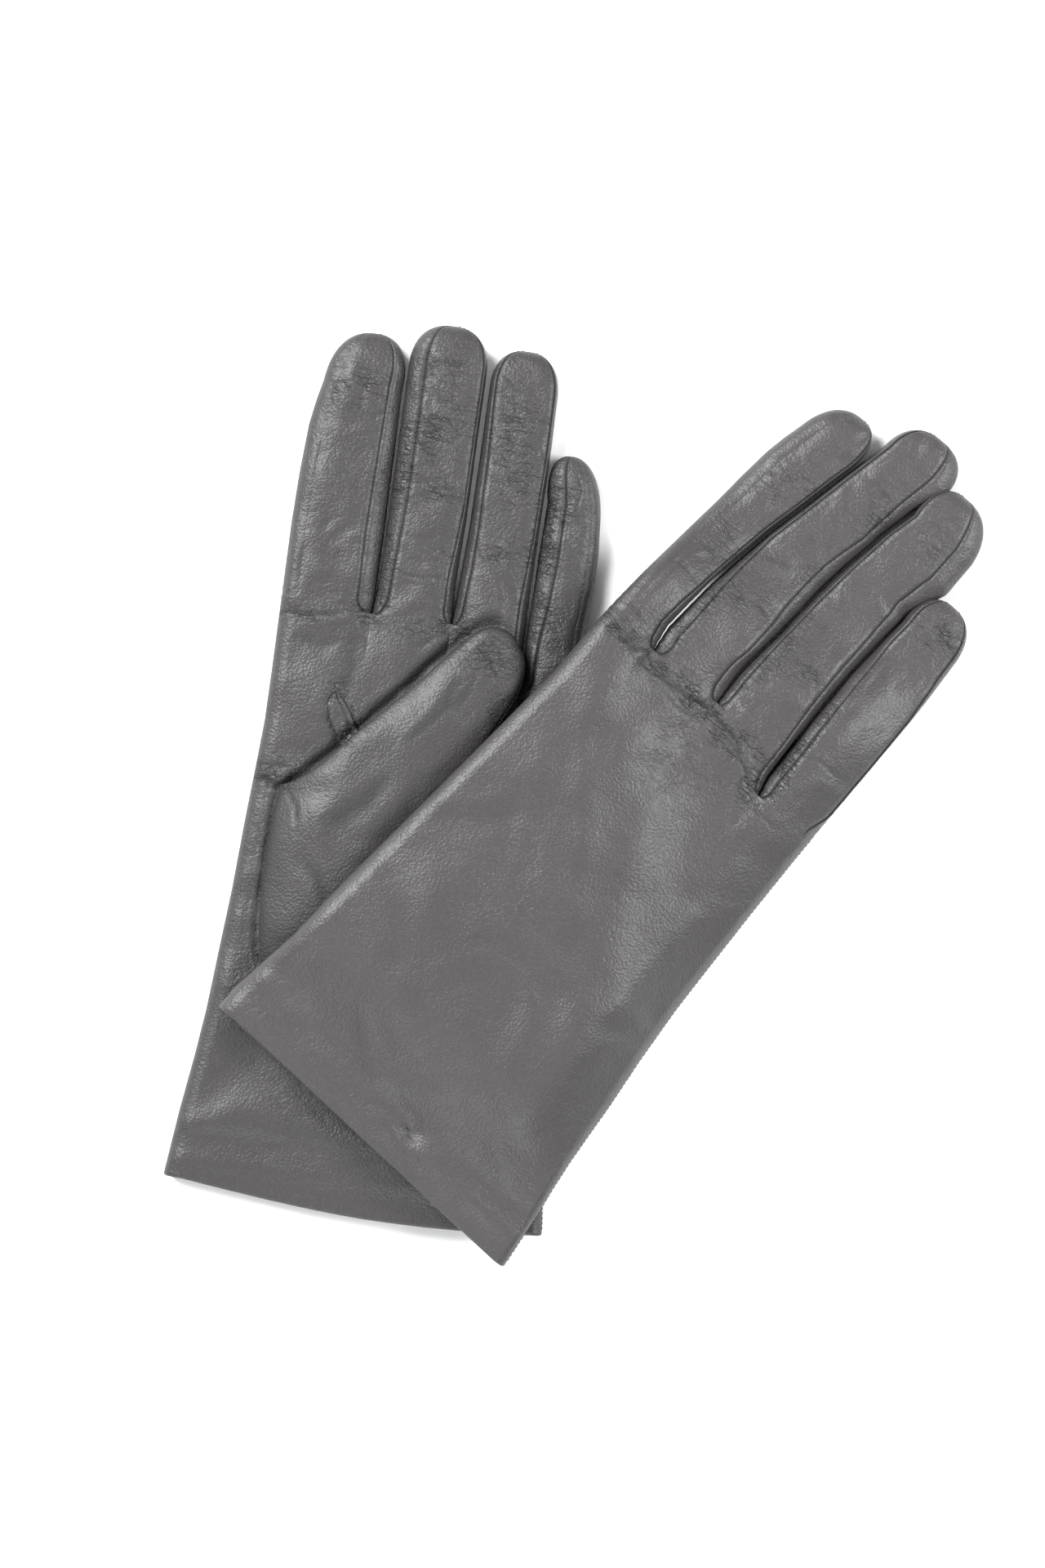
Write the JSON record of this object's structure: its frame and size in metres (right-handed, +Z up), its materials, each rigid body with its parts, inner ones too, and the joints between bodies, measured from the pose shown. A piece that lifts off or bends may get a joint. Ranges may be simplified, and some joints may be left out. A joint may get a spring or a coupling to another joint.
{
  "type": "pair of leather gloves",
  "caption": "Pair of plain lined leather dress gloves, laid flat one across the other, with bending fingers and thumbs and open cuffs.",
  "frame": {"origin": "centre of the bounding box in plan, at the surface the pair lies on", "axes": "+X across the pair, towards the right glove's fingertips; +Y from the cuffs to the fingertips of the left glove; +Z up"},
  "size_m": [0.247, 0.2794, 0.028],
  "materials": {
    "leather": "fine-grain nappa with a soft sheen",
    "lining": "fine knit",
    "thread": "matt sewing thread"
  },
  "bodies": {
    "left_palm": {"left_hand_leather": "leather", "left_thumb_base_leather": "leather", "left_thumb_quirk": "leather", "left_hand_lining": "lining", "left_side_seam_thread": "thread", "left_thumb_seam_thread": "thread", "left_hem_thread": "thread", "left_lining_tack": "thread"},
    "left_index": {"left_index_leather": "leather", "left_index_fourchette": "leather", "left_index_lining": "lining", "left_index_seam_thread": "thread"},
    "left_middle": {"left_middle_leather": "leather", "left_middle_radial_fourchette": "leather", "left_middle_ulnar_fourchette": "leather", "left_middle_lining": "lining", "left_middle_seam_thread": "thread"},
    "left_ring": {"left_ring_leather": "leather", "left_ring_radial_fourchette": "leather", "left_ring_ulnar_fourchette": "leather", "left_ring_lining": "lining", "left_ring_seam_thread": "thread"},
    "left_little": {"left_little_leather": "leather", "left_little_fourchette": "leather", "left_little_lining": "lining", "left_little_seam_thread": "thread"},
    "left_thumb": {"left_thumb_leather": "leather", "left_thumb_lining": "lining"},
    "right_palm": {"right_hand_leather": "leather", "right_thumb_base_leather": "leather", "right_thumb_quirk": "leather", "right_hand_lining": "lining", "right_side_seam_thread": "thread", "right_thumb_seam_thread": "thread", "right_hem_thread": "thread", "right_lining_tack": "thread"},
    "right_index": {"right_index_leather": "leather", "right_index_fourchette": "leather", "right_index_lining": "lining", "right_index_seam_thread": "thread"},
    "right_middle": {"right_middle_leather": "leather", "right_middle_radial_fourchette": "leather", "right_middle_ulnar_fourchette": "leather", "right_middle_lining": "lining", "right_middle_seam_thread": "thread"},
    "right_ring": {"right_ring_leather": "leather", "right_ring_radial_fourchette": "leather", "right_ring_ulnar_fourchette": "leather", "right_ring_lining": "lining", "right_ring_seam_thread": "thread"},
    "right_little": {"right_little_leather": "leather", "right_little_fourchette": "leather", "right_little_lining": "lining", "right_little_seam_thread": "thread"},
    "right_thumb": {"right_thumb_leather": "leather", "right_thumb_lining": "lining"}
  },
  "joints": [
    {"name": "right_glove_lift", "type": "slide", "parent": "left_palm", "child": "right_palm", "axis": [0, 0, 1], "range_m": [0, 0.12]},
    {"name": "left_index_fold", "type": "hinge", "parent": "left_palm", "child": "left_index", "pos_m": [-0.07407, 0.06085, 0.0095], "axis": [0.9903, -0.1392, 0], "range_deg": [0, 75]},
    {"name": "left_middle_fold", "type": "hinge", "parent": "left_palm", "child": "left_middle", "pos_m": [-0.04732, 0.06415, 0.0095], "axis": [0.9903, -0.1392, 0], "range_deg": [0, 75]},
    {"name": "left_ring_fold", "type": "hinge", "parent": "left_palm", "child": "left_ring", "pos_m": [-0.02421, 0.06091, 0.0095], "axis": [0.9903, -0.1392, 0], "range_deg": [0, 75]},
    {"name": "left_little_fold", "type": "hinge", "parent": "left_palm", "child": "left_little", "pos_m": [-0.00472, 0.05009, 0.0095], "axis": [0.9903, -0.1392, 0], "range_deg": [0, 75]},
    {"name": "left_thumb_swing", "type": "hinge", "parent": "left_palm", "child": "left_thumb", "pos_m": [-0.07124, 0.01273, 0.014], "axis": [0, 0, 1], "range_deg": [0, 18]},
    {"name": "right_index_fold", "type": "hinge", "parent": "right_palm", "child": "right_index", "pos_m": [0.02625, 0.05863, 0.02626], "axis": [0.766, -0.6428, 0], "range_deg": [0, 45]},
    {"name": "right_middle_fold", "type": "hinge", "parent": "right_palm", "child": "right_middle", "pos_m": [0.04242, 0.04506, 0.02187], "axis": [0.766, -0.6428, 0], "range_deg": [0, 45]},
    {"name": "right_ring_fold", "type": "hinge", "parent": "right_palm", "child": "right_ring", "pos_m": [0.0614, 0.02913, 0.01888], "axis": [0.766, -0.6428, 0], "range_deg": [0, 45]},
    {"name": "right_little_fold", "type": "hinge", "parent": "right_palm", "child": "right_little", "pos_m": [0.07405, 0.00676, 0.0189], "axis": [0.766, -0.6428, 0], "range_deg": [0, 45]},
    {"name": "right_thumb_swing", "type": "hinge", "parent": "right_palm", "child": "right_thumb", "pos_m": [0.00427, 0.01539, 0.01394], "axis": [0, 0, 1], "range_deg": [0, 10]}
  ]
}
